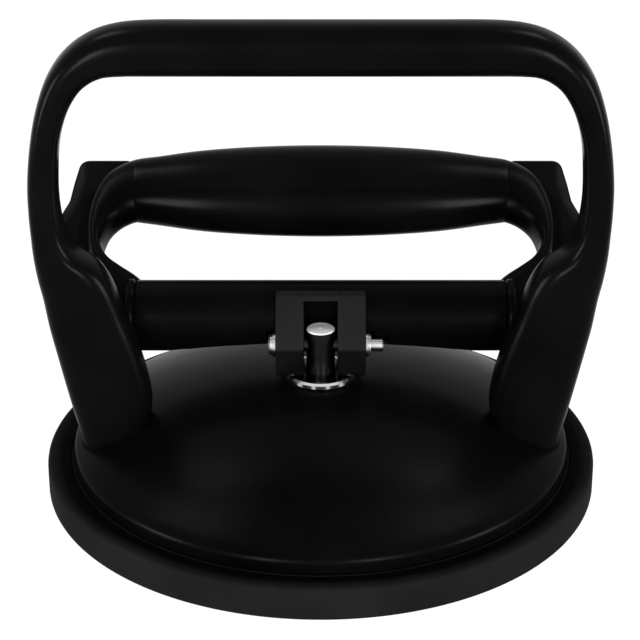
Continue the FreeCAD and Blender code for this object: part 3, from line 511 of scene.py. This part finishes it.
bar_end = [(x, BAR_RADIUS, "plain") for x in (32.0, 40.0, 48.0, RELIEF_HALF_LENGTH, 66.6)]
bar_end += [(x, BAR_RADIUS - 0.5, "plain") for x in (67.2, 67.5)]
bar_end += [
    (67.8, COLLAR_RADIUS - 0.2, "plain"),
    (68.2, COLLAR_RADIUS, "plain"),
    (69.6, COLLAR_RADIUS, "plain"),
    (70.2, COLLAR_RADIUS - 0.6, "plain"),
]
bar_middle = [
    (SLOT_HALF, BAR_RADIUS, "notch"),
    (SLOT_HALF, BAR_RADIUS, "plain"),
    (LUG_HALF, BAR_RADIUS, "plain"),
    (LUG_HALF, BAR_RADIUS, "pocket"),
    (POCKET_END, BAR_RADIUS, "pocket"),
]
left_half = bar_middle + [(POCKET_END, BAR_RADIUS, "plain")] + bar_end
right_half = bar_middle + [
    (POCKET_END, BAR_RADIUS, "groove"),
    (GROOVE_END, BAR_RADIUS, "groove"),
    (GROOVE_END, BAR_RADIUS, "plain"),
] + bar_end
bar_rings = [bar_ring(-x, radius, state) for x, radius, state in reversed(left_half)]
bar_rings += [bar_ring(x, radius, state) for x, radius, state in right_half]
bar = skin("lever_cross_bar", bar_rings, enamel, "lever", crease=30)

# ------------------------------------------------------------ cam lugs
# Two thick plates cast on the front of the bar, one each side of the stud. Their upper front
# is bevelled, their face is upright, and their heels are cams that roll on the bush, so
# that pressing the lever down lifts the stud.

CAM_RATE = 5.0 / TRAVEL
HEEL_HEIGHT = 9.8


def heel(angle):
    """Point of the cam heel for one lever angle."""
    height = HEEL_HEIGHT + CAM_RATE * angle
    back = height * math.sin(angle) + CAM_RATE * math.cos(angle)
    drop = height * math.cos(angle) - CAM_RATE * math.sin(angle)
    return (back, PIN_Z - drop, 0)


def plate(name, outline, place, near, far, edge, finish, body):
    """Flat piece: an outline carried from near to far, with softened edges."""
    inset = [(near, edge), (near + edge * 0.3, edge * 0.3), (near + edge, 0.0)]
    inset += [(far - edge, 0.0), (far - edge * 0.3, edge * 0.3), (far, edge)]
    count = len(outline)
    rings = []
    for depth, shrink in inset:
        ring = []
        for index, point in enumerate(outline):
            along = (outline[(index + 1) % count] - outline[index - 1]).normalized()
            inward = Vector((-along.y, along.x))
            shift = inward * shrink
            ring.append(place(point.x + shift.x, point.y + shift.y, depth))
        rings.append(ring)
    return skin(name, rings, finish, body, crease=50)


cast = Finish("cast_black", {"Specular IOR Level": 0.02})
# Painted light: the upper bevel of each lug is coloured lighter than its upright face and heels, as if lit
# from above.
BEVEL_FOOT = 0.0543
lit_bevel = cast.axis("Z") > BEVEL_FOOT
cast_grain_and_lit_bevel = cast.grain(60, 4) * 0.3 + lit_bevel * 0.35 + 0.18
cast.tint((0.0006, 0.0006, 0.0006), (0.0058, 0.0058, 0.0059), cast_grain_and_lit_bevel)
cast.drive("Roughness", cast.grain(300, 3) * 0.14 + 0.42)
cast.emboss(cast.grain(1300, 3), 0.00008, 0.5)
lug_outline = rounded([
    (10.2, 69.9, 0),
    (4.2, 69.9, 0.5),
    (-8.0, 54.0, 1.0),
    (-8.0, PIN_Z - HEEL_HEIGHT, 3.4),
    *[heel(TRAVEL * step / 5) for step in range(6)],
    (BAR_Y, BAR_Z, 0),
])
for side, sign in (("left", -1), ("right", 1)):
    plate(
        f"cam_lug_{side}", lug_outline, lambda a, b, depth, sign=sign: Vector((sign * depth, a, b)) * MM,
        SLOT_HALF, LUG_HALF, 0.7, cast, "lever",
    )
bridge_outline = rounded([(10.2, 69.9, 0), (4.2, 69.9, 0.5), (2.97, 68.3, 0.3), (10.2, 68.3, 0)])
plate(
    "lug_bridge", bridge_outline, lambda a, b, depth: Vector((depth, a, b)) * MM,
    -SLOT_HALF - 0.9, SLOT_HALF + 0.9, 0.02, cast, "lever",
)

# ------------------------------------------------------------ lever arms
# The two bowed arms of the same casting. Each leaves the collar at the end of the bar, bends
# out and up, and flows into the end of the palm grip, so bar, arms and grip form a loop.

LEVER_TILT = math.radians(30.2)


def on_lever(x, s, n):
    """Point in the lever's own plane: s up the arm from the bar's axis, n out of the plane."""
    return Vector((
        x,
        BAR_Y + s * math.cos(LEVER_TILT) - n * math.sin(LEVER_TILT),
        BAR_Z + s * math.sin(LEVER_TILT) + n * math.cos(LEVER_TILT),
    ))


# Outer x, s, inner x, s, half depth and squareness, from the grip down to the bar.
arm_stations = [
    (63.0, 71.2, 62.0, 43.8, 9.6, 2.2),
    (70.0, 70.0, 68.2, 44.5, 9.2, 2.2),
    (76.4, 66.7, 72.8, 42.8, 8.9, 2.3),
    (81.6, 61.5, 76.4, 40.0, 8.6, 2.5),
    (85.2, 52.8, 79.0, 36.3, 8.3, 2.6),
    (86.9, 42.0, 80.6, 31.2, 8.0, 2.8),
    (86.6, 32.0, 80.6, 27.0, 7.9, 2.9),
    (84.6, 21.0, 78.0, 22.6, 7.9, 2.8),
    (81.4, 9.5, 73.0, 19.2, 8.0, 2.6),
    (76.4, -1.5, 67.6, 15.6, 8.0, 2.5),
    (70.6, -7.0, 62.6, 10.6, 7.6, 2.4),
]
up = on_lever(0, 0, 1) - on_lever(0, 0, 0)
for side, sign in (("left", -1), ("right", 1)):
    arm_rings = []
    for outer_x, outer_s, inner_x, inner_s, half_depth, power in flowing(arm_stations, 6):
        outer = on_lever(sign * outer_x, outer_s, 0)
        inner = on_lever(sign * inner_x, inner_s, 0)
        arm_rings.append(oval_ring((outer + inner) / 2, (outer - inner) / 2, up * half_depth, power))
    skin(f"lever_arm_{side}", arm_rings, enamel, "lever", crease=60)

# ------------------------------------------------------------ thumb ears
# Flat tabs cast on the outside of each arm, to press or lift the lever with the thumbs. Each
# is a plate 4 mm thick that widens towards the bar and dies back into the arm.

ear_outline = rounded([
    (72.0, 64.0, 0),
    (73.0, 72.9, 1.2),
    (91.8, 72.9, 4.0),
    (93.8, 62.0, 6.0),
    (95.0, 53.6, 5.0),
    (98.0, 46.5, 2.5),
    (97.6, 41.0, 2.5),
    (92.0, 31.5, 3.0),
    (85.4, 26.0, 0),
    (83.0, 36.0, 0),
    (80.0, 50.0, 0),
])
ear_outline.reverse()
for side, sign in (("left", -1), ("right", 1)):
    plate(
        f"thumb_ear_{side}", ear_outline,
        lambda a, b, depth, sign=sign: on_lever(sign * a, b, depth) * MM,
        -5.0, -1.0, 0.9, enamel, "lever",
    )
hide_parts("lever_frame")

# ------------------------------------------------------------ palm grip
# The swollen upper bar that the palm presses: a smooth black moulding over the casting's
# core. It is fullest in the middle and narrows evenly to a fine parting line at each arm.

GRIP_DISTANCE = 57.2
grip_stations = [
    (-70.4, 12.2, 9.0, 2.2),
    (-69.8, 12.7, 9.5, 2.2),
    (-62.0, 13.8, 10.4, 2.2),
    (-44.0, 16.5, 12.3, 2.15),
    (-22.0, 18.2, 13.5, 2.1),
    (0.0, 18.7, 13.85, 2.1),
    (22.0, 18.2, 13.5, 2.1),
    (44.0, 16.5, 12.3, 2.15),
    (62.0, 13.8, 10.4, 2.2),
    (69.8, 12.7, 9.5, 2.2),
    (70.4, 12.2, 9.0, 2.2),
]
along = on_lever(0, 1, 0) - on_lever(0, 0, 0)
grip_rings = [
    oval_ring(on_lever(x, GRIP_DISTANCE, 0), along * half_width, up * half_depth, power)
    for x, half_width, half_depth, power in flowing(grip_stations, 8)
]
grip = skin("palm_grip", grip_rings, satin, "lever", crease=50)
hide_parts("lever_grip")

# ------------------------------------------------------------ cross pin
# A headed steel pin through both lugs and the stud, with a plain washer at each end and a
# spring clip snapped into the groove near its tail. The ends are bright, and the middle is
# painted dark as shade between the lugs.

pin_steel = Finish("bright_pin", {"Metallic": 1.0})
# Painted shade: within this distance of the middle the pin's colour is dark, as in shadow between the
# lugs.
SHADED_HALF = 0.0155
unshaded_ends = pin_steel.node("ShaderNodeMath", {"operation": "ABSOLUTE"}, {0: pin_steel.axis("X")}) > SHADED_HALF
pin_grain_and_shade = pin_steel.grain(500, 3) * 0.16 + unshaded_ends * 0.5 + 0.2
pin_steel.tint((0.02, 0.02, 0.02), (0.42, 0.42, 0.42), pin_grain_and_shade)
pin_steel.drive("Roughness", pin_steel.grain(400, 3) * 0.16 + 0.16)
pin_steel.emboss(pin_steel.grain(1800, 2), 0.00003, 0.4)
for node in ("cross_pin", "pin_washer_left", "pin_washer_right"):
    pin_steel.coat(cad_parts[node])
spring_steel.coat(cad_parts["retaining_clip"])

# ------------------------------------------------------------ floor, lights and camera
# A plain white studio: a seamless floor that keeps a faint shadow, and six soft lamps in
# three mirrored pairs, high behind, low in front and low at the sides.


def seen_mask(finish):
    """One for what the camera, a mirror or glass sees, nothing for light on the object."""
    total = finish.node("ShaderNodeLightPath", {}, {}, "Is Camera Ray")
    for ray in ("Is Glossy Ray", "Is Transmission Ray"):
        total = total + finish.node("ShaderNodeLightPath", {}, {}, ray)
    return finish.node("ShaderNodeMath", {"operation": "MINIMUM"}, {0: total, 1: 1.0})


matt = {"Base Color": (0.86, 0.86, 0.86, 1), "Roughness": 0.9, "Specular IOR Level": 0.0}
paper = Finish("white_floor", matt)
glow = paper.node("ShaderNodeEmission", {}, {"Color": (1, 1, 1, 1), "Strength": 1.06}, "Emission")
share = seen_mask(paper) * 0.93
lit = Signal(paper, paper.shader.outputs["BSDF"])
blended = paper.node("ShaderNodeMixShader", {}, {0: share, 1: lit, 2: glow})
paper.tree.links.new(blended.socket, paper.tree.nodes["Material Output"].inputs["Surface"])
floor_mesh = bpy.data.meshes.new("studio_floor")
REACH = 6.0
corners = [(-REACH, -REACH, 0), (REACH, -REACH, 0), (REACH, REACH, 0), (-REACH, REACH, 0)]
floor_mesh.from_pydata(corners, [], [(0, 1, 2, 3)])
floor = bpy.data.objects.new("studio_floor", floor_mesh)
bpy.context.scene.collection.objects.link(floor)
floor.location.z = -0.0002
paper.coat(floor)

world = bpy.data.worlds.new("studio")
bpy.context.scene.world = world
sky = Finish("studio", {"Color": (1, 1, 1, 1)}, world, "Background")
sky.drive("Strength", seen_mask(sky) * 0.88 + 0.12)

LAMP_AIM = Vector((0, 0, 0.07))
for place, where, size, power in (
    ("back", (0.5, 0.4, 1.15), (0.32, 0.36), 5.0),
    ("front", (0.46, -1.1, 0.36), (0.2, 0.5), 16.0),
    ("side", (1.15, -0.4, 0.2), (0.36, 0.5), 20.0),
):
    for side, sign in (("left", -1), ("right", 1)):
        data = bpy.data.lights.new(f"{side}_{place}", "AREA")
        data.shape = "RECTANGLE"
        data.size, data.size_y = size
        data.energy = power
        lamp = bpy.data.objects.new(f"{side}_{place}", data)
        lamp.location = (sign * where[0], where[1], where[2])
        lamp.rotation_euler = (LAMP_AIM - lamp.location).to_track_quat("-Z", "Y").to_euler()
        bpy.context.scene.collection.objects.link(lamp)

lens = bpy.data.cameras.new("studio_camera")
lens.sensor_width = 36.0
lens.lens = 125.47
lens.shift_x = -0.0011
lens.shift_y = 0.0097
camera = bpy.data.objects.new("studio_camera", lens)
camera.location = (0, -0.7210, 0.4066)
camera.rotation_euler = (math.radians(64.33), 0, 0)
bpy.context.scene.collection.objects.link(camera)
bpy.context.scene.camera = camera
bpy.context.scene.view_settings.view_transform = "Standard"
